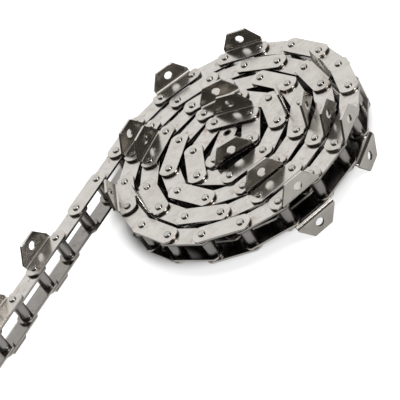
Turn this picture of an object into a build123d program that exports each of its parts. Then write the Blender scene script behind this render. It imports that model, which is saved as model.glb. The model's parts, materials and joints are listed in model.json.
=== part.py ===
from build123d import *
import os
from math import atan2, cos, degrees, hypot, pi, radians, sin, sqrt

# A double-pitch roller conveyor chain with bent one-hole attachment tabs, lying on its side: the pins
# stand upright, a straight run lies along +X, and the rest is wound into a flat spiral coil.
# Inner links (two plates, two bushes, two rollers) alternate with outer links (two plates, two pins).
# The first free links are nodes of their own; the wound coil is kept as one group per kind of piece.
# Origin: the bore of the free end's bush, halfway up the pin. +Z is the pin axis, in millimetres.

# Chain
pitch = 38.1
inner_width = 19.05
roller_diameter = 11.91
bush_diameter = 8.4
pin_diameter = 5.94

# Plates
plate_height = 19.4
plate_end_reach = 9.4
plate_end_radius = 10.6
inner_plate_thickness = 2.5
outer_plate_thickness = 2.5

# Running clearances
pin_clearance = 0.06
roller_clearance = 0.08
roller_end_play = 0.2
link_side_clearance = 0.2

# Riveted pin ends
pin_head_flare = 0.6
pin_head_height = 1.5
pin_head_rim = 0.9
pin_head_taper = 0.4

# Bent attachment tabs
tab_inner_offset = 10.55
tab_bend_radius = 2.8
tab_overhang = 1.7
tab_top_width = 20.0
tab_height = 18.5
tab_hole_diameter = 8.4
tab_hole_height = 8.8

# How the chain is made up: of every attachment_period outer links, the first ones carry tabs
inner_link_count = 35
free_inner_links = 9
attachment_period = 4
attachments_in_a_row = 2

# How the chain lies: straight joints, then a spiral that turns clockwise seen from above
straight_joints = 7
winding_clearance = 0.87
core_radius_ratio = 0.672
oval_depth = 1.23
oval_angle = 84.4
oval_growth = 0.742
last_link_angle = 126
sweep_tolerance = 1e-12

# Levels, measured from the middle plane between the plates
inner_face = inner_width / 2
inner_plate_top = inner_face + inner_plate_thickness
outer_plate_bottom = inner_plate_top + link_side_clearance
outer_plate_top = outer_plate_bottom + outer_plate_thickness
pin_end = outer_plate_top + pin_head_height
bush_bore = pin_diameter + 2 * pin_clearance
roller_bore = bush_diameter + 2 * roller_clearance
roller_length = inner_width - 2 * roller_end_play
pin_head_diameter = pin_diameter + 2 * pin_head_flare
plate_length = pitch + 2 * plate_end_reach
tab_base_width = pitch + 2 * tab_overhang
tab_bend_start = tab_inner_offset - tab_bend_radius
tab_outer_offset = tab_inner_offset + outer_plate_thickness
tab_top = outer_plate_top + tab_height

# The spiral: one winding's tabs stand just inside the next winding's plates
joint_count = 2 * inner_link_count
wound_pitches = joint_count - 2 - straight_joints
winding_spacing = tab_outer_offset + plate_height / 2 + winding_clearance
core_radius = core_radius_ratio * pitch
coil_start_radius = sqrt(core_radius**2 + winding_spacing * wound_pitches * pitch / pi)


def coil_point(sweep):
    """The point of the spiral after a sweep in radians from its start, about the coil's centre."""
    turns = sweep / (2 * pi)
    oval = (oval_depth + oval_growth * turns) * cos(2 * (sweep - radians(oval_angle)))
    radius = coil_start_radius - winding_spacing * turns + oval
    return radius * cos(sweep), -radius * sin(sweep)


def distance(a, b):
    return hypot(b[0] - a[0], b[1] - a[1])


def next_sweep(sweep):
    """The sweep at which the spiral is one pitch further on."""
    low, high = sweep, sweep + pi
    while high - low > sweep_tolerance:
        middle = (low + high) / 2
        if distance(coil_point(sweep), coil_point(middle)) < pitch:
            low = middle
        else:
            high = middle
    return low


def joint_points():
    """Every joint of the chain from the free end inwards, with the free end at the origin."""
    wound, sweep = [coil_point(0)], 0
    for _ in range(wound_pitches):
        sweep = next_sweep(sweep)
        wound.append(coil_point(sweep))
    (x, y), (last_x, last_y) = wound[-2:]
    heading = atan2(last_y - y, last_x - x) - radians(last_link_angle)
    wound.append((last_x + pitch * cos(heading), last_y + pitch * sin(heading)))
    (x, y), (next_x, next_y) = wound[:2]
    step_x, step_y = (next_x - x) / pitch, (next_y - y) / pitch
    points = [(pitch * n, 0.0) for n in range(straight_joints)]
    for px, py in wound:
        along, across = (px - x) * step_x + (py - y) * step_y, (py - y) * step_x - (px - x) * step_y
        points.append((along + pitch * straight_joints, across))
    return points


joints = joint_points()


def link_place(number):
    """Where link number lies: its middle, with local +X towards the coil's heart and +Y outwards."""
    (x, y), (next_x, next_y) = joints[number], joints[number + 1]
    heading = degrees(atan2(next_y - y, next_x - x))
    return Location(((x + next_x) / 2, (y + next_y) / 2, 0), (0, 0, heading))


def link_joints(numbers):
    """The two joints of each of these links."""
    return [Location((*joints[n + end], 0)) for n in numbers for end in (0, 1)]


def carries_tabs(number):
    """Whether the outer link is one of those with attachment tabs."""
    return (number // 2) % attachment_period < attachments_in_a_row


def write(piece, name):
    piece.part.label = name
    export_step(piece.part, f"parts/{name}.step")


# The outline of every plate: straight sides between end arcs that are wider than the plate is high
with BuildSketch() as plate_outline:
    SlotOverall(plate_length, 2 * plate_end_radius)
    Rectangle(plate_length, plate_height, mode=Mode.INTERSECT)

# A riveted pin, as turned about its own axis
with BuildPart() as pin:
    with BuildSketch(Plane.XZ):
        with BuildLine():
            Polyline(
                (0, 0),
                (pin_diameter / 2, 0),
                (pin_diameter / 2, outer_plate_top),
                (pin_head_diameter / 2, outer_plate_top),
                (pin_head_diameter / 2, outer_plate_top + pin_head_rim),
                (pin_head_diameter / 2 - pin_head_taper, pin_end),
                (0, pin_end),
                close=True,
            )
        make_face()
    revolve(axis=Axis.Z)
    mirror(about=Plane.XY)

# A bush, as long as the inner link is wide
with BuildPart() as bush:
    with BuildSketch(Plane.XY.offset(-inner_plate_top)):
        Circle(bush_diameter / 2)
        Circle(bush_bore / 2, mode=Mode.SUBTRACT)
    extrude(amount=2 * inner_plate_top)

# A roller, which turns on the bush between the inner plates
with BuildPart() as roller:
    with BuildSketch(Plane.XY.offset(-roller_length / 2)):
        Circle(roller_diameter / 2)
        Circle(roller_bore / 2, mode=Mode.SUBTRACT)
    extrude(amount=roller_length)

# The upper plate of an attachment link: its outer edge is bent up into a tapered tab with one hole
with BuildPart() as attachment_plate:
    with BuildSketch(Plane.XY.offset(outer_plate_bottom)):
        add(plate_outline.sketch)
        Rectangle(tab_base_width, tab_bend_start, align=(Align.CENTER, Align.MIN))
        with Locations((0, tab_bend_start)):
            Rectangle(2 * pitch, plate_height, align=(Align.CENTER, Align.MIN), mode=Mode.SUBTRACT)
        with Locations((-pitch / 2, 0), (pitch / 2, 0)):
            Circle(pin_diameter / 2, mode=Mode.SUBTRACT)
    extrude(amount=outer_plate_thickness)
    with BuildSketch(Plane.YZ.offset(-tab_base_width / 2)):
        with BuildLine():
            bend_top = outer_plate_top + tab_bend_radius
            RadiusArc(
                (tab_bend_start, outer_plate_top), (tab_inner_offset, bend_top), -tab_bend_radius
            )
            Polyline(
                (tab_inner_offset, bend_top),
                (tab_inner_offset, tab_top),
                (tab_outer_offset, tab_top),
                (tab_outer_offset, bend_top),
            )
            RadiusArc(
                (tab_outer_offset, bend_top),
                (tab_bend_start, outer_plate_bottom),
                tab_bend_radius + outer_plate_thickness,
            )
            Line((tab_bend_start, outer_plate_bottom), (tab_bend_start, outer_plate_top))
        make_face()
    extrude(amount=tab_base_width)
    with BuildSketch(Plane.XZ.offset(-tab_bend_start)):
        for side in (-1, 1):
            with BuildLine():
                Polyline(
                    (side * tab_base_width / 2, outer_plate_top),
                    (side * tab_base_width / 2, tab_top),
                    (side * tab_top_width / 2, tab_top),
                    close=True,
                )
            make_face()
        with Locations((0, outer_plate_top + tab_hole_height)):
            Circle(tab_hole_diameter / 2)
    extrude(amount=-(tab_outer_offset - tab_bend_start), mode=Mode.SUBTRACT)

# Both plates of an attachment link: the lower one is bent down
with BuildPart() as attachment_pair:
    add(attachment_plate.part)
    mirror(about=Plane.XY)


def plate_pair(numbers, bottom, thickness, hole_diameter):
    """The upper and lower plain plates of these links."""
    with BuildPart() as plates:
        with BuildSketch(Plane.XY.offset(bottom), Plane.XY.offset(-bottom - thickness)):
            with Locations([link_place(n) for n in numbers]):
                add(plate_outline.sketch)
            with Locations(link_joints(numbers)):
                Circle(hole_diameter / 2, mode=Mode.SUBTRACT)
        extrude(amount=thickness)
    return plates


def inner_plates(numbers):
    return plate_pair(numbers, inner_face, inner_plate_thickness, bush_diameter)


def outer_plates(numbers):
    return plate_pair(numbers, outer_plate_bottom, outer_plate_thickness, pin_diameter)


def attachment_plates(numbers):
    with BuildPart() as plates:
        with Locations([link_place(n) for n in numbers]):
            add(attachment_pair.part)
    return plates


def copies(piece, places):
    """The same turned piece at each of these joints."""
    with BuildPart() as group:
        with Locations(places):
            add(piece.part)
    return group


os.makedirs("parts", exist_ok=True)

links = range(2 * inner_link_count - 1)
free_links = links[: 2 * free_inner_links]
coil_links = links[2 * free_inner_links :]

# The free links, counted from the free end
for number in free_links:
    count = number // 2 + 1
    if number % 2 == 0:
        write(inner_plates([number]), f"inner_plates_{count}")
        write(copies(bush, link_joints([number])), f"bushes_{count}")
        for place, end in zip(link_joints([number]), "ab"):
            write(copies(roller, [place]), f"roller_{count}{end}")
    else:
        if carries_tabs(number):
            write(attachment_plates([number]), f"attachment_plates_{count}")
        else:
            write(outer_plates([number]), f"outer_plates_{count}")
        write(copies(pin, link_joints([number])), f"pins_{count}")

# The wound coil
coil_inner = [n for n in coil_links if n % 2 == 0]
coil_outer = [n for n in coil_links if n % 2 == 1]
write(inner_plates(coil_inner), "coil_inner_plates")
write(copies(bush, link_joints(coil_inner)), "coil_bushes")
write(copies(roller, link_joints(coil_inner)), "coil_rollers")
write(outer_plates([n for n in coil_outer if not carries_tabs(n)]), "coil_outer_plates")
write(attachment_plates([n for n in coil_outer if carries_tabs(n)]), "coil_attachment_plates")
write(copies(pin, link_joints(coil_outer)), "coil_pins")
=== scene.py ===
import json
import math
import random

import bpy
from mathutils import Matrix, Vector

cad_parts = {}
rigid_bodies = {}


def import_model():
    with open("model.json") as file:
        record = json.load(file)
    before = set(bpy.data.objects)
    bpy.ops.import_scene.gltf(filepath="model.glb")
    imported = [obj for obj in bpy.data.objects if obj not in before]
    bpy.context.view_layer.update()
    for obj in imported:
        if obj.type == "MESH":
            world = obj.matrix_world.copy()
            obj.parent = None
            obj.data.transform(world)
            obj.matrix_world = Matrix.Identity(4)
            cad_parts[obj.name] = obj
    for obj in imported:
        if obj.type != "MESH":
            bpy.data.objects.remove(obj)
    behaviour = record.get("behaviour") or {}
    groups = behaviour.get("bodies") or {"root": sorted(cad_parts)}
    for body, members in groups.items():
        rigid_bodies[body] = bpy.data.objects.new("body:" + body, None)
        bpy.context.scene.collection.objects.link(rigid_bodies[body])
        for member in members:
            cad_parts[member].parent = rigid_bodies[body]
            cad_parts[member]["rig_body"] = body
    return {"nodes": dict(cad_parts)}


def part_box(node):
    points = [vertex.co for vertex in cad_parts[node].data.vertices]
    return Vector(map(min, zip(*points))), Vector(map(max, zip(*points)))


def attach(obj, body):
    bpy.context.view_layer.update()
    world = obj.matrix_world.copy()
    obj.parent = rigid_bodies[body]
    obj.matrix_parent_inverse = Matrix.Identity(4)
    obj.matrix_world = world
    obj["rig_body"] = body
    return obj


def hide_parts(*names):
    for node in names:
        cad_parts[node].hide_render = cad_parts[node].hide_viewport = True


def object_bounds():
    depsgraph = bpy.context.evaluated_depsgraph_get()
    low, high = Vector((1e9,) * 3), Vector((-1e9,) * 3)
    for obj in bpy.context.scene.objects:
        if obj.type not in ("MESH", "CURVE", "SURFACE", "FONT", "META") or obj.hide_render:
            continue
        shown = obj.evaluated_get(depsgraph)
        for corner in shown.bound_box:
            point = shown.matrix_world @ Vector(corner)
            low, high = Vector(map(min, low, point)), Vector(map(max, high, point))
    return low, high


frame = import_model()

# A double-pitch roller chain with bent attachment tabs: a straight run and a wound coil.
# Everything is in metres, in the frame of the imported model, with the pins upright.

cadLow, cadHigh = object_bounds()
nodes = frame["nodes"]

chain = {
    "pitch": 0.0381,
    "freeLinks": 9,  # inner links before the coil, each followed by an outer link
    "tabPeriod": 4,  # of every four outer links ...
    "tabsInARow": 2,  # ... the first two carry tabs
    "patternSpread": 40,  # how far apart in the noise the pieces' patterns may lie
}

workshop = {
    "sameSpot": 1e-6,  # points closer together than this are one
    "near": 1e-5,  # how far from a level a face or point is still picked with it
    "facing": 0.9,  # how squarely a face has to look along an axis to be picked
    "smoothAngle": 20,
    "cornerAngle": 35,  # corners sharper than this are rounded
    "holeSides": 40,
    "drillLength": 0.01,  # goes well through a plate
}


def deselect():
    if bpy.context.object and bpy.context.object.mode != "OBJECT":
        bpy.ops.object.mode_set(mode="OBJECT")
    bpy.ops.object.select_all(action="DESELECT")


def activate(*objects):
    deselect()
    for item in objects:
        item.select_set(True)
    bpy.context.view_layer.objects.active = objects[0]


def pickFaces(piece, test):
    # ends in edit mode, with only the faces that pass the test selected
    bpy.ops.object.mode_set(mode="EDIT")
    bpy.ops.mesh.select_mode(type="FACE")
    bpy.ops.mesh.select_all(action="DESELECT")
    bpy.ops.object.mode_set(mode="OBJECT")
    for face in piece.data.polygons:
        face.select = test(face)
    bpy.ops.object.mode_set(mode="EDIT")


def pickVerts(piece, test):
    bpy.ops.object.mode_set(mode="EDIT")
    bpy.ops.mesh.select_mode(type="VERT")
    bpy.ops.mesh.select_all(action="DESELECT")
    bpy.ops.object.mode_set(mode="OBJECT")
    for vert in piece.data.vertices:
        vert.select = test(vert.co)
    bpy.ops.object.mode_set(mode="EDIT")


def cutOff(place, normal):
    # takes off the whole piece's side that the normal points to, and closes the cut
    bpy.ops.mesh.select_all(action="SELECT")
    bpy.ops.mesh.bisect(plane_co=place, plane_no=normal, clear_outer=True, use_fill=True)


def closeHoles():
    bpy.ops.mesh.select_mode(type="EDGE")
    bpy.ops.mesh.select_all(action="DESELECT")
    bpy.ops.mesh.select_non_manifold()
    bpy.ops.mesh.fill_holes(sides=0)


def applyPlace(piece):
    activate(piece)
    bpy.ops.object.transform_apply(location=True, rotation=True, scale=True)


def drill(piece, place, radius, turn=(0, 0, 0)):
    deselect()
    bpy.ops.mesh.primitive_cylinder_add(
        vertices=workshop["holeSides"], radius=radius, depth=workshop["drillLength"],
        location=place, rotation=turn)
    drillBit = bpy.context.object
    hole = piece.modifiers.new("hole", "BOOLEAN")
    hole.operation = "DIFFERENCE"
    hole.solver = "EXACT"
    hole.object = drillBit
    activate(piece)
    bpy.ops.object.modifier_apply(modifier=hole.name)
    bpy.data.objects.remove(drillBit, do_unlink=True)


def softenEdges(piece, width, steps=2):
    activate(piece)
    rounding = piece.modifiers.new("edges", "BEVEL")
    rounding.limit_method = "ANGLE"
    rounding.angle_limit = math.radians(workshop["cornerAngle"])
    rounding.width = width
    rounding.segments = steps
    rounding.use_clamp_overlap = True
    bpy.ops.object.modifier_apply(modifier=rounding.name)


def closeAndSmooth(piece):
    activate(piece)
    bpy.ops.object.mode_set(mode="EDIT")
    bpy.ops.mesh.select_all(action="SELECT")
    bpy.ops.mesh.remove_doubles(threshold=workshop["sameSpot"])
    bpy.ops.mesh.normals_make_consistent(inside=False)
    bpy.ops.object.mode_set(mode="OBJECT")
    bpy.ops.object.shade_smooth_by_angle(angle=math.radians(workshop["smoothAngle"]))


def withTwinBelow(piece):
    # adds the same piece turned over below the middle plane
    activate(piece)
    bpy.ops.object.mode_set(mode="EDIT")
    bpy.ops.mesh.select_all(action="SELECT")
    bpy.ops.mesh.duplicate()
    bpy.ops.transform.mirror(constraint_axis=(False, False, True), center_override=(0, 0, 0))
    bpy.ops.mesh.flip_normals()
    bpy.ops.object.mode_set(mode="OBJECT")


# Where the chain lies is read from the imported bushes, two to every inner link.

def roundPieceCentres(nodeName):
    # the middle of a bush's box is on its axis
    original = nodes[nodeName]
    copy = original.copy()
    copy.data = original.data.copy()
    copy.parent = None
    bpy.context.collection.objects.link(copy)
    activate(copy)
    bpy.ops.object.mode_set(mode="EDIT")
    bpy.ops.mesh.select_all(action="SELECT")
    bpy.ops.mesh.remove_doubles(threshold=workshop["sameSpot"])
    bpy.ops.mesh.separate(type="LOOSE")
    bpy.ops.object.mode_set(mode="OBJECT")
    centres = []
    for part in list(bpy.context.selected_objects):
        corners = [Vector(corner) for corner in part.bound_box]
        centres.append(((corners[0] + corners[6]) / 2).to_2d())
        bpy.data.objects.remove(part, do_unlink=True)
    return centres


def chainRow(places, pitch):
    # from the free end, the next joint is always the one that is a pitch further on
    row = [min(places, key=lambda place: place.length)]
    waiting = [place for place in places if place is not row[0]]
    while waiting:
        nearest = min(waiting, key=lambda place: abs((place - row[-1]).length - pitch))
        row.append(nearest)
        waiting = [place for place in waiting if place is not nearest]
    return row


bushNodes = [name for name in nodes if "bushes" in name]
joints = chainRow(
    [centre for name in bushNodes for centre in roundPieceCentres(name)], chain["pitch"])
print("joints found:", len(joints))


def linkPlace(number):
    here, there = joints[number], joints[number + 1]
    way = there - here
    middle = (here + there) / 2
    return Matrix.Translation((*middle, 0)) @ Matrix.Rotation(math.atan2(way.y, way.x), 4, "Z")


def jointPlace(number, turn=0.0):
    return Matrix.Translation((*joints[number], 0)) @ Matrix.Rotation(turn, 4, "Z")


# Link plates

innerPlateLow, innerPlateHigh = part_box("inner_plates_1")
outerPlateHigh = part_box("outer_plates_3")[1]
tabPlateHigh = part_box("attachment_plates_1")[1]

plate = {
    "length": innerPlateHigh.x - innerPlateLow.x,
    "height": innerPlateHigh.y - innerPlateLow.y,
    "endRadius": 0.0106,
    "thickness": 0.0025,
    "edge": 0.00032,
    "sides": 72,
}

tab = {
    "bendStart": 0.00775,
    "bendRadius": 0.0028,
    "baseWidth": 0.0415,
    "topWidth": 0.020,
    "holeRadius": 0.0042,
    "holeHeight": 0.0088,
    "bendSteps": 8,
}


def plateBlank(name, top):
    middle = top - plate["thickness"] / 2
    deselect()
    bpy.ops.mesh.primitive_cylinder_add(
        vertices=plate["sides"], radius=plate["endRadius"], depth=plate["thickness"],
        location=(0, 0, middle))
    blank = bpy.context.object
    blank.name = name
    applyPlace(blank)
    half = plate["length"] / 2 - plate["endRadius"]
    for side in (1, -1):  # draws the round blank out to the plate's length
        pickVerts(blank, lambda co: side * co.x > workshop["near"])
        bpy.ops.transform.translate(value=(side * half, 0, 0))
    for side in (1, -1):  # the straight edges
        cutOff((0, side * plate["height"] / 2, 0), (0, side, 0))
    bpy.ops.object.mode_set(mode="OBJECT")
    return blank


def jointHoles(blank, top, radius):
    for side in (1, -1):
        drill(blank, (side * chain["pitch"] / 2, 0, top), radius)


def finishPlates(blank):
    softenEdges(blank, plate["edge"])
    closeAndSmooth(blank)
    withTwinBelow(blank)


def linkPlates(name, top, holeRadius):
    blank = plateBlank(name, top)
    jointHoles(blank, top, holeRadius)
    finishPlates(blank)
    return blank


def bendUpTab(blank, top):
    reach = tab["baseWidth"] / 2
    bendTop = top + tab["bendRadius"]
    rise = tabPlateHigh.z - top
    lean = (tab["baseWidth"] - tab["topWidth"]) / 2
    bpy.ops.object.mode_set(mode="EDIT")
    cutOff((0, tab["bendStart"], 0), (0, 1, 0))
    for side in (1, -1):  # marks off the tab's width
        bpy.ops.mesh.select_all(action="SELECT")
        bpy.ops.mesh.bisect(plane_co=(side * reach, 0, 0), plane_no=(1, 0, 0))
    pickFaces(blank, lambda face: face.normal.y > workshop["facing"]
              and abs(face.center.x) < reach
              and face.center.y > tab["bendStart"] - workshop["near"])
    bpy.ops.mesh.spin(
        steps=tab["bendSteps"], angle=math.radians(-90), center=(0, tab["bendStart"], bendTop),
        axis=(1, 0, 0))
    bpy.ops.mesh.extrude_region_move(
        TRANSFORM_OT_translate={"value": (0, 0, tabPlateHigh.z - bendTop)})
    for side in (1, -1):  # the sides taper from the plate's face to the narrow top
        pickFaces(blank, lambda face: face.center.y > tab["bendStart"] + workshop["near"])
        bpy.ops.mesh.bisect(
            plane_co=(side * reach, 0, top), plane_no=(side * rise, 0, lean), clear_outer=True)
    closeHoles()
    bpy.ops.object.mode_set(mode="OBJECT")
    closeAndSmooth(blank)


def tabPlates(name, top, holeRadius):
    blank = plateBlank(name, top)
    bendUpTab(blank, top)
    jointHoles(blank, top, holeRadius)
    drill(blank, (0, tabPlateHigh.y, top + tab["holeHeight"]), tab["holeRadius"],
          turn=(math.radians(90), 0, 0))
    finishPlates(blank)
    return blank


# Pins, bushes and rollers

bushLow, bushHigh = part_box("bushes_1")
pinLow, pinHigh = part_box("pins_1")
rollerLow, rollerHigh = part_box("roller_1a")

pin = {
    "radius": 0.00297,
    "headRadius": (pinHigh.y - pinLow.y) / 2,
    "rim": 0.0009,
    "taper": 0.0004,
    "edge": 0.0002,
    "rimLean": 0.3,  # how far the rim's own edge goes in, in edge widths
    "edgeSteps": ((0.4, 0.75), (1.2, 0.25)),  # the top edge, in and up, in edge widths
    "landStart": 1.6,  # the flat ring inside the top edge, in edge widths
    "grooveWidth": 0.00042,
    "grooveDepth": 0.0003,
    "grooveFloor": (0.4, 0.6),  # where the groove's floor lies, in shares of its width
    "dimpleRadius": 0.0011,
    "dimpleDepth": 0.0002,
    "dimpleSlope": 0.00003,  # fall of the flat towards the dimple
    "dimpleFloor": 0.55,  # share of the dimple's radius
    "sides": 32,
}

bush = {
    "radius": 0.0042,
    "bore": 0.00303,
    "length": bushHigh.z - bushLow.z,
    "edge": 0.0002,
    "sides": 36,
}

roller = {
    "radius": (rollerHigh.x - rollerLow.x) / 2,
    "bore": 0.00428,
    "length": rollerHigh.z - rollerLow.z,
    "edge": 0.00045,
    "sides": 48,
}


def headRings():
    # radius of each ring of the riveted head, and its rise above the ring before
    edge, groove = pin["edge"], pin["grooveWidth"]
    topRadius = pin["headRadius"] - pin["taper"]
    landRadius = topRadius - pin["landStart"] * edge
    grooveStart, grooveEnd = pin["grooveFloor"]
    headHeight = pinHigh.z - outerPlateHigh.z
    rim = [
        (pin["headRadius"], 0.0),
        (pin["headRadius"], pin["rim"] - edge),
        (pin["headRadius"] - pin["rimLean"] * edge, edge),
        (topRadius, headHeight - pin["rim"] - edge),
    ]
    topEdge = [(topRadius - inward * edge, upward * edge) for inward, upward in pin["edgeSteps"]]
    return rim + topEdge + [
        (landRadius, 0.0),
        (landRadius - grooveStart * groove, -pin["grooveDepth"]),
        (landRadius - grooveEnd * groove, 0.0),
        (landRadius - groove, pin["grooveDepth"]),
        (pin["dimpleRadius"], -pin["dimpleSlope"]),
        (pin["dimpleFloor"] * pin["dimpleRadius"], -pin["dimpleDepth"]),
    ]


def rivetedPin(name):
    deselect()
    bpy.ops.mesh.primitive_cylinder_add(
        vertices=pin["sides"], radius=pin["radius"], depth=2 * outerPlateHigh.z)
    rivet = bpy.context.object
    rivet.name = name
    for end in (1, -1):
        pickFaces(rivet, lambda face: face.normal.z * end > workshop["facing"]
                  and face.center.z * end > outerPlateHigh.z - workshop["near"])
        radius = pin["radius"]
        for ringRadius, rise in headRings():
            share = ringRadius / radius
            bpy.ops.mesh.extrude_region_move(
                TRANSFORM_OT_translate={"value": (0, 0, end * rise)})
            bpy.ops.transform.resize(value=(share, share, 1))
            radius = ringRadius
    bpy.ops.object.mode_set(mode="OBJECT")
    closeAndSmooth(rivet)
    return rivet


def tube(name, size):
    outer, inner = size["radius"], size["bore"]
    deselect()
    bpy.ops.mesh.primitive_cylinder_add(
        vertices=size["sides"], radius=outer, depth=size["length"])
    piece = bpy.context.object
    piece.name = name
    pickFaces(piece, lambda face: abs(face.normal.z) > workshop["facing"])
    bpy.ops.mesh.inset(thickness=outer - inner, depth=0)
    bpy.ops.mesh.delete(type="FACE")
    bpy.ops.object.mode_set(mode="OBJECT")
    wallMiddle = (outer + inner) / 2
    pickVerts(piece, lambda co: co.to_2d().length < wallMiddle)
    bpy.ops.mesh.bridge_edge_loops()
    bpy.ops.object.mode_set(mode="OBJECT")
    closeAndSmooth(piece)
    softenEdges(piece, size["edge"], steps=3)
    closeAndSmooth(piece)
    return piece


# Steels

# the last value of each steel is what is left of its colour in the painted shade between the plates
steels = {
    "outer_plate_steel": {"light": (0.66, 0.63, 0.59), "dull": (0.58, 0.55, 0.51), "rough": 0.20,
                          "grain": 0.5, "stain": 0.25, "paintedShadeLeft": 0.15},
    "attachment_plate_steel": {"light": (0.64, 0.61, 0.57), "dull": (0.55, 0.52, 0.48), "rough": 0.21,
                               "grain": 0.5, "stain": 0.3, "paintedShadeLeft": 0.15},
    "inner_plate_steel": {"light": (0.66, 0.63, 0.60), "dull": (0.57, 0.54, 0.50), "rough": 0.22,
                          "grain": 0.6, "stain": 0.7, "paintedShadeLeft": 0.15},
    "pin_steel": {"light": (0.62, 0.60, 0.57), "dull": (0.50, 0.48, 0.45), "rough": 0.18,
                  "grain": 0.3, "stain": 0.0, "paintedShadeLeft": 0.3},
    "bush_steel": {"light": (0.62, 0.60, 0.57), "dull": (0.50, 0.47, 0.44), "rough": 0.30,
                   "grain": 0.3, "stain": 0.0, "paintedShadeLeft": 0.3},
    "roller_steel": {"light": (0.66, 0.64, 0.61), "dull": (0.55, 0.53, 0.50), "rough": 0.30,
                     "grain": 0.4, "stain": 0.15, "paintedShadeLeft": 0.6},
}

grain = {
    "stretch": (260, 2600, 900),  # drawn out along the link
    "noise": {"Scale": 1.0, "Detail": 3.0},
    "strength": 0.10,
    "depth": 0.0002,
    "span": (0.25, 0.75),  # the noise hardly goes beyond this
    "roughSwing": 0.05,  # how far the roughness goes up and down with it
}

patches = {
    "noise": {"Scale": 95.0, "Detail": 4.0, "Roughness": 0.55},
    "edge": (0.38, 0.68),
}

stain = {
    "colour": (0.30, 0.19, 0.12),
    "reach": 0.019,  # from the joint
    "atJoint": 0.3,
    "peak": 0.55,  # share of the reach where the ring is fullest
    "noise": {"Scale": 170.0, "Detail": 5.0, "Distortion": 0.6},
    "edge": (0.52, 0.72),
}


def addNode(tree, kind, sockets=None, **settings):
    made = tree.nodes.new(kind)
    for key, value in settings.items():
        setattr(made, key, value)
    for socket, value in (sockets or {}).items():
        made.inputs[socket].default_value = value
    return made


def combine(tree, operation, first, second, **settings):
    made = addNode(tree, "ShaderNodeMath", operation=operation, **settings)
    for slot, source in enumerate((first, second)):
        if isinstance(source, float):
            made.inputs[slot].default_value = source
        else:
            tree.links.new(source, made.inputs[slot])
    return made.outputs["Value"]


def linkNoise(tree, place, sockets):
    # every link has its own pattern, because its seed moves the noise on
    noise = addNode(tree, "ShaderNodeTexNoise", sockets, noise_dimensions="4D")
    seed = addNode(tree, "ShaderNodeAttribute", attribute_name="linkSeed")
    tree.links.new(place, noise.inputs["Vector"])
    tree.links.new(seed.outputs["Fac"], noise.inputs["W"])
    return noise.outputs["Fac"]


def fadeIn(tree, value, edge):
    ramp = addNode(tree, "ShaderNodeValToRGB")
    ramp.color_ramp.elements[0].position = edge[0]
    ramp.color_ramp.elements[1].position = edge[1]
    tree.links.new(value, ramp.inputs["Fac"])
    return ramp.outputs["Color"]


def jointRing(tree, place):
    # one round each of the link's two joints, fullest at the ring's peak
    fold = addNode(tree, "ShaderNodeVectorMath", operation="ABSOLUTE")
    shift = addNode(tree, "ShaderNodeVectorMath", {1: (chain["pitch"] / 2, 0, 0)},
                    operation="SUBTRACT")
    flat = addNode(tree, "ShaderNodeVectorMath", {1: (1, 1, 0)}, operation="MULTIPLY")
    away = addNode(tree, "ShaderNodeVectorMath", operation="LENGTH")
    tree.links.new(place, fold.inputs[0])
    tree.links.new(fold.outputs["Vector"], shift.inputs[0])
    tree.links.new(shift.outputs["Vector"], flat.inputs[0])
    tree.links.new(flat.outputs["Vector"], away.inputs[0])
    ring = addNode(tree, "ShaderNodeValToRGB")
    ring.color_ramp.interpolation = "EASE"
    first, last = ring.color_ramp.elements
    first.position = 0.0
    first.color = (stain["atJoint"], stain["atJoint"], stain["atJoint"], 1)
    last.position = 1.0
    last.color = (0, 0, 0, 1)
    peak = ring.color_ramp.elements.new(stain["peak"])
    peak.color = (1, 1, 1, 1)
    tree.links.new(combine(tree, "DIVIDE", away.outputs["Value"], stain["reach"]),
                   ring.inputs["Fac"])
    return ring.outputs["Color"]


def stained(tree, place, base, share):
    # brown traces of oil and heat, in a broken ring round each joint
    blots = fadeIn(tree, linkNoise(tree, place, stain["noise"]), stain["edge"])
    both = combine(tree, "MULTIPLY", jointRing(tree, place), blots)
    mix = addNode(tree, "ShaderNodeMix", data_type="RGBA")
    mix.inputs["B"].default_value = (*stain["colour"], 1)
    tree.links.new(base, mix.inputs["A"])
    tree.links.new(combine(tree, "MULTIPLY", both, share), mix.inputs["Factor"])
    return mix.outputs["Result"]


def withPaintedShade(tree, base, left):
    # painted shade: darkens what lies between the plates, where shade falls
    shadeMask = addNode(tree, "ShaderNodeAttribute", attribute_name="paintedShade")
    share = addNode(tree, "ShaderNodeMapRange", {"To Min": 1.0, "To Max": left})
    darker = addNode(tree, "ShaderNodeVectorMath", operation="SCALE")
    tree.links.new(shadeMask.outputs["Fac"], share.inputs["Value"])
    tree.links.new(base, darker.inputs[0])
    tree.links.new(share.outputs["Result"], darker.inputs["Scale"])
    return darker.outputs["Vector"]


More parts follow.
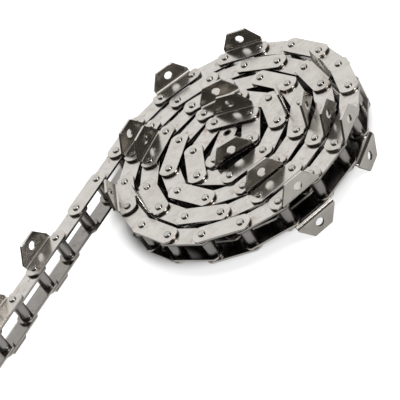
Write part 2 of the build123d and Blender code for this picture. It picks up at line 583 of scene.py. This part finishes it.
def steel(name, look):
    material = bpy.data.materials.new(name)
    material.use_nodes = True
    tree = material.node_tree
    shader = tree.nodes["Principled BSDF"]
    shader.inputs["Metallic"].default_value = 1.0
    own = addNode(tree, "ShaderNodeAttribute", attribute_name="ownPlace").outputs["Vector"]

    stretch = addNode(tree, "ShaderNodeMapping", {"Scale": grain["stretch"]})
    tree.links.new(own, stretch.inputs["Vector"])
    grainNoise = linkNoise(tree, stretch.outputs["Vector"], grain["noise"])
    patchNoise = linkNoise(tree, own, patches["noise"])

    colour = addNode(tree, "ShaderNodeMix", data_type="RGBA")
    colour.inputs["A"].default_value = (*look["light"], 1)
    colour.inputs["B"].default_value = (*look["dull"], 1)
    tree.links.new(fadeIn(tree, patchNoise, patches["edge"]), colour.inputs["Factor"])
    base = colour.outputs["Result"]
    if look["stain"] > 0:
        base = stained(tree, own, base, look["stain"])
    tree.links.new(withPaintedShade(tree, base, look["paintedShadeLeft"]), shader.inputs["Base Color"])

    # the roughness follows the grain and the patches together
    rough = addNode(tree, "ShaderNodeMapRange", {
        "From Min": grain["span"][0],
        "From Max": grain["span"][1],
        "To Min": look["rough"] - grain["roughSwing"],
        "To Max": look["rough"] + grain["roughSwing"],
    })
    halves = [combine(tree, "MULTIPLY", noise, 0.5) for noise in (grainNoise, patchNoise)]
    tree.links.new(combine(tree, "ADD", *halves, use_clamp=True), rough.inputs["Value"])
    tree.links.new(rough.outputs["Result"], shader.inputs["Roughness"])

    bump = addNode(tree, "ShaderNodeBump", {
        "Strength": grain["strength"] * look["grain"],
        "Distance": grain["depth"],
    })
    tree.links.new(grainNoise, bump.inputs["Height"])
    tree.links.new(bump.outputs["Normal"], shader.inputs["Normal"])
    return material


materials = {name: steel(name, look) for name, look in steels.items()}
print("materials made:", len(materials))


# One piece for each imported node

dice = random.Random(7)

# painted shade between the plates, darkest in the wound coil
paintedShade = {
    "freeShare": 0.6,  # what the free links have of the painted shade of the wound ones
    "margin": 0.0001,  # a face at the end of the shaded stretch still counts
    "plateShare": 0.45,  # how much of an upper plate's thickness gets painted shade from below
}


def markOwnPlace(piece, paintedShadeLow, paintedShadeHigh):
    # the patterns follow each piece's own shape wherever it lies
    layers = piece.data.attributes
    layers.new("ownPlace", "FLOAT_VECTOR", "POINT")
    layers.new("paintedShade", "FLOAT", "POINT")
    layers.new("linkSeed", "FLOAT", "POINT")
    for vert in piece.data.vertices:
        layers["ownPlace"].data[vert.index].vector = vert.co
        # points between the plates are marked for painted shade
        layers["paintedShade"].data[vert.index].value = 1.0 if paintedShadeLow < vert.co.z < paintedShadeHigh else 0.0


def layOut(nodeName, pattern, places, slotName):
    copies = []
    # the wound coil gets the full painted shade between its plates, the free links a share of it
    paintedShadeShare = 1.0 if nodeName.startswith("coil") else paintedShade["freeShare"]
    for place in places:
        copy = pattern.copy()
        copy.data = pattern.data.copy()
        bpy.context.collection.objects.link(copy)
        copy.data.transform(place)
        seedValue = dice.uniform(0, chain["patternSpread"])
        copy.data.attributes["linkSeed"].data.foreach_set(
            "value", [seedValue] * len(copy.data.vertices))
        for spot in copy.data.attributes["paintedShade"].data:
            spot.value *= paintedShadeShare
        copies.append(copy)
    activate(*copies)
    if len(copies) > 1:
        bpy.ops.object.join()
    piece = bpy.context.view_layer.objects.active
    piece.name = "made_" + nodeName
    piece.data.name = piece.name
    piece.data.materials.clear()
    piece.data.materials.append(materials[slotName])
    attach(piece, nodes[nodeName]["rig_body"])
    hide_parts(nodeName)


patterns = {
    "inner": linkPlates("innerPattern", innerPlateHigh.z, bush["radius"]),
    "outer": linkPlates("outerPattern", outerPlateHigh.z, pin["radius"]),
    "tabbed": tabPlates("tabbedPattern", outerPlateHigh.z, pin["radius"]),
    "pin": rivetedPin("pinPattern"),
    "bush": tube("bushPattern", bush),
    "roller": tube("rollerPattern", roller),
}

# each kind of plate gets painted shade from the lower one's upper face to the underside of the upper
# one
plateTops = {"inner": innerPlateHigh.z, "outer": outerPlateHigh.z, "tabbed": outerPlateHigh.z}
roundReach = outerPlateHigh.z + paintedShade["margin"]
paintedShadeSpans = {kind: (-roundReach, roundReach) for kind in ("pin", "bush", "roller")}
for kind, top in plateTops.items():
    paintedShadeSpans[kind] = (plate["thickness"] - top - paintedShade["margin"],
                        top - (1 - paintedShade["plateShare"]) * plate["thickness"])
for kind, pattern in patterns.items():
    markOwnPlace(pattern, *paintedShadeSpans[kind])
    print("modelled", pattern.name, len(pattern.data.polygons), "faces")


def hasTabs(number):
    return (number // 2) % chain["tabPeriod"] < chain["tabsInARow"]


def endsOf(numbers):
    # the two joints of each link, with every round piece turned its own way
    return [jointPlace(number + end, dice.uniform(0, math.tau))
            for number in numbers for end in (0, 1)]


linkCount = len(joints) - 1
freeCount = 2 * chain["freeLinks"]
for number in range(freeCount):
    count = number // 2 + 1
    if number % 2 == 0:
        layOut(f"inner_plates_{count}", patterns["inner"], [linkPlace(number)], "inner_plate_steel")
        layOut(f"bushes_{count}", patterns["bush"], endsOf([number]), "bush_steel")
        for end, letter in enumerate("ab"):
            layOut(f"roller_{count}{letter}", patterns["roller"], [jointPlace(number + end)],
                   "roller_steel")
    else:
        if hasTabs(number):
            layOut(f"attachment_plates_{count}", patterns["tabbed"], [linkPlace(number)],
                   "attachment_plate_steel")
        else:
            layOut(f"outer_plates_{count}", patterns["outer"], [linkPlace(number)],
                   "outer_plate_steel")
        layOut(f"pins_{count}", patterns["pin"], endsOf([number]), "pin_steel")
print("free links laid out")

coilInner = range(freeCount, linkCount, 2)
coilOuter = range(freeCount + 1, linkCount, 2)
plainPlaces = [linkPlace(number) for number in coilOuter if not hasTabs(number)]
tabbedPlaces = [linkPlace(number) for number in coilOuter if hasTabs(number)]
layOut("coil_inner_plates", patterns["inner"], [linkPlace(number) for number in coilInner],
       "inner_plate_steel")
layOut("coil_bushes", patterns["bush"], endsOf(coilInner), "bush_steel")
layOut("coil_rollers", patterns["roller"], endsOf(coilInner), "roller_steel")
layOut("coil_outer_plates", patterns["outer"], plainPlaces, "outer_plate_steel")
layOut("coil_attachment_plates", patterns["tabbed"], tabbedPlaces, "attachment_plate_steel")
layOut("coil_pins", patterns["pin"], endsOf(coilOuter), "pin_steel")
print("coil laid out")

for pattern in patterns.values():
    bpy.data.objects.remove(pattern, do_unlink=True)


# Floor, light and camera

floorLook = {
    "size": 12.0,
    "centre": (0.2, -0.1),
    "gap": 0.0002,  # below the chain
    "white": (0.93, 0.93, 0.93),
    "paintedShadowUnder": 0.04,  # painted shadow: what is left of the white deep under the coil ...
    "paintedShadowBeside": 0.5,  # ... and where the coil's painted shadow lies beside it
    "underCentre": (0.289, -0.126),
    "underEdge": (0.116, 0.136),
    "coilCentres": ((0.311, -0.1035), (0.3285, -0.0791)),
    "liftEdge": (0.122, 0.148),  # the floor's own painted glow starts outside the coil, leaving a painted shadow round it
    "shadeInside": 0.012,  # how much further in the shade fades out
    "lift": 0.85,
    "metalShare": 0.1,  # what the metal sees of the lift
}

room = {
    "skyLight": 1.0,
    "skyAxis": (0.56, 0.60, 0.60),
    "skyEdge": (0.79, 0.965),
    "lowLight": 0.055,
    "lowTint": (1.0, 0.92, 0.82),
}

lamps = {
    "softbox": {"power": 4.5, "size": 1.0, "place": (0.15, -0.35, 1.5)},
    "front": {"power": 5.0, "size": 0.4, "place": (0.34, -1.25, 0.98)},
}
lampAim = (0.2, -0.12, 0)

camera = {
    "place": (-0.4447, -1.0599, 0.8364),
    "aim": (0.2124, -0.1459, 0.0164),
    "roll": -34.2,
    "lens": 138.2,
    "sensor": 36.0,
    "clip": (0.05, 40.0),
}


def distanceFrom(tree, place, middle):
    away = addNode(tree, "ShaderNodeVectorMath", {1: (*middle, cadLow.z)}, operation="DISTANCE")
    tree.links.new(place, away.inputs[0])
    return away.outputs["Value"]


def fade(tree, value, start, end, low=0.0, high=1.0):
    # goes smoothly from low to high while the value goes from start to end
    step = addNode(tree, "ShaderNodeMapRange", {
        "From Min": start,
        "From Max": end,
        "To Min": low,
        "To Max": high,
    }, interpolation_type="SMOOTHSTEP")
    tree.links.new(value, step.inputs["Value"])
    return step.outputs["Result"]


# the floor's white carries a painted shadow under and round the coil
def whiteFloorWithPaintedShadow():
    material = bpy.data.materials.new("whiteFloorWithPaintedShadow")
    material.use_nodes = True
    tree = material.node_tree
    tree.nodes.remove(tree.nodes["Principled BSDF"])
    place = addNode(tree, "ShaderNodeTexCoord").outputs["Object"]
    start, end = floorLook["liftEdge"]
    inside = floorLook["shadeInside"]
    outside = combine(tree, "MINIMUM", *(
        distanceFrom(tree, place, middle) for middle in floorLook["coilCentres"]))

    # the matt floor with a painted shadow: dark under the coil, shaded beside it
    shade = fade(tree, outside, start - inside, end - inside, low=floorLook["paintedShadowBeside"])
    deep = fade(tree, distanceFrom(tree, place, floorLook["underCentre"]), *floorLook["underEdge"],
                low=floorLook["paintedShadowUnder"])
    white = addNode(tree, "ShaderNodeVectorMath", {0: floorLook["white"]}, operation="SCALE")
    matt = addNode(tree, "ShaderNodeBsdfDiffuse")
    tree.links.new(combine(tree, "MULTIPLY", shade, deep), white.inputs["Scale"])
    tree.links.new(white.outputs["Vector"], matt.inputs["Color"])

    # a painted glow lifts the floor to full white round the coil but not next to it, which leaves a
    # painted shadow there; the metal mirrors little of the glow
    glow = addNode(tree, "ShaderNodeEmission")
    lit = addNode(tree, "ShaderNodeAddShader")
    tree.links.new(fade(tree, outside, start, end, high=floorLook["lift"]), glow.inputs["Strength"])
    tree.links.new(matt.outputs["BSDF"], lit.inputs[0])
    tree.links.new(glow.outputs["Emission"], lit.inputs[1])
    rays = addNode(tree, "ShaderNodeLightPath")
    mirrored = combine(tree, "MULTIPLY", rays.outputs["Is Glossy Ray"], floorLook["metalShare"])
    seen = combine(tree, "MAXIMUM", rays.outputs["Is Camera Ray"], mirrored)
    mix = addNode(tree, "ShaderNodeMixShader")
    tree.links.new(seen, mix.inputs["Fac"])
    tree.links.new(matt.outputs["BSDF"], mix.inputs[1])
    tree.links.new(lit.outputs["Shader"], mix.inputs[2])
    tree.links.new(mix.outputs["Shader"], tree.nodes["Material Output"].inputs["Surface"])
    return material


def layFloor():
    deselect()
    bpy.ops.mesh.primitive_plane_add(
        size=floorLook["size"], location=(*floorLook["centre"], cadLow.z - floorLook["gap"]))
    floor = bpy.context.object
    floor.name = "studioFloor"
    applyPlace(floor)
    floor.data.materials.append(whiteFloorWithPaintedShadow())


def lightRoom():
    # white to the camera; to the metal a bright patch of sky over a dim room
    world = bpy.data.worlds.new("room")
    bpy.context.scene.world = world
    world.use_nodes = True
    tree = world.node_tree
    around = addNode(tree, "ShaderNodeTexCoord")
    facing = addNode(tree, "ShaderNodeVectorMath", {1: Vector(room["skyAxis"]).normalized()},
                     operation="DOT_PRODUCT")
    # the ramp runs from 0, facing away from the sky's axis, to 1, facing along it
    half = addNode(tree, "ShaderNodeMath", {1: 0.5, 2: 0.5}, operation="MULTIPLY_ADD")
    sky = addNode(tree, "ShaderNodeValToRGB")
    sky.color_ramp.interpolation = "EASE"
    dim, bright = sky.color_ramp.elements
    dim.position, bright.position = room["skyEdge"]
    dim.color = (*(room["lowLight"] * tint for tint in room["lowTint"]), 1)
    bright.color = (room["skyLight"], room["skyLight"], room["skyLight"], 1)
    background = tree.nodes["Background"]
    white = addNode(tree, "ShaderNodeBackground", {"Color": (1, 1, 1, 1)})
    rays = addNode(tree, "ShaderNodeLightPath")
    mix = addNode(tree, "ShaderNodeMixShader")
    tree.links.new(around.outputs["Generated"], facing.inputs[0])
    tree.links.new(facing.outputs["Value"], half.inputs[0])
    tree.links.new(half.outputs["Value"], sky.inputs["Fac"])
    tree.links.new(sky.outputs["Color"], background.inputs["Color"])
    tree.links.new(rays.outputs["Is Camera Ray"], mix.inputs["Fac"])
    tree.links.new(background.outputs["Background"], mix.inputs[1])
    tree.links.new(white.outputs["Background"], mix.inputs[2])
    tree.links.new(mix.outputs["Shader"], tree.nodes["World Output"].inputs["Surface"])


def hangLamps():
    for name, look in lamps.items():
        deselect()
        place = Vector(look["place"])
        bpy.ops.object.light_add(type="AREA", location=place)
        lamp = bpy.context.object
        lamp.name = name + "Lamp"
        lamp.data.size = look["size"]
        lamp.data.energy = look["power"]
        aim = Vector(lampAim) - place
        lamp.rotation_euler = aim.to_track_quat("-Z", "Y").to_euler()


def setCamera():
    deselect()
    bpy.ops.object.camera_add(location=camera["place"])
    eye = bpy.context.object
    eye.name = "studioCamera"
    eye.data.lens = camera["lens"]
    eye.data.sensor_width = camera["sensor"]
    eye.data.clip_start, eye.data.clip_end = camera["clip"]
    way = (Vector(camera["aim"]) - Vector(camera["place"])).normalized()
    level = way.to_track_quat("-Z", "Y").to_matrix().to_4x4()
    turned = level @ Matrix.Rotation(math.radians(camera["roll"]), 4, "Z")
    eye.rotation_euler = turned.to_euler()
    bpy.context.scene.camera = eye


layFloor()
lightRoom()
hangLamps()
setCamera()
bpy.context.scene.view_settings.view_transform = "Standard"
print("stage set")
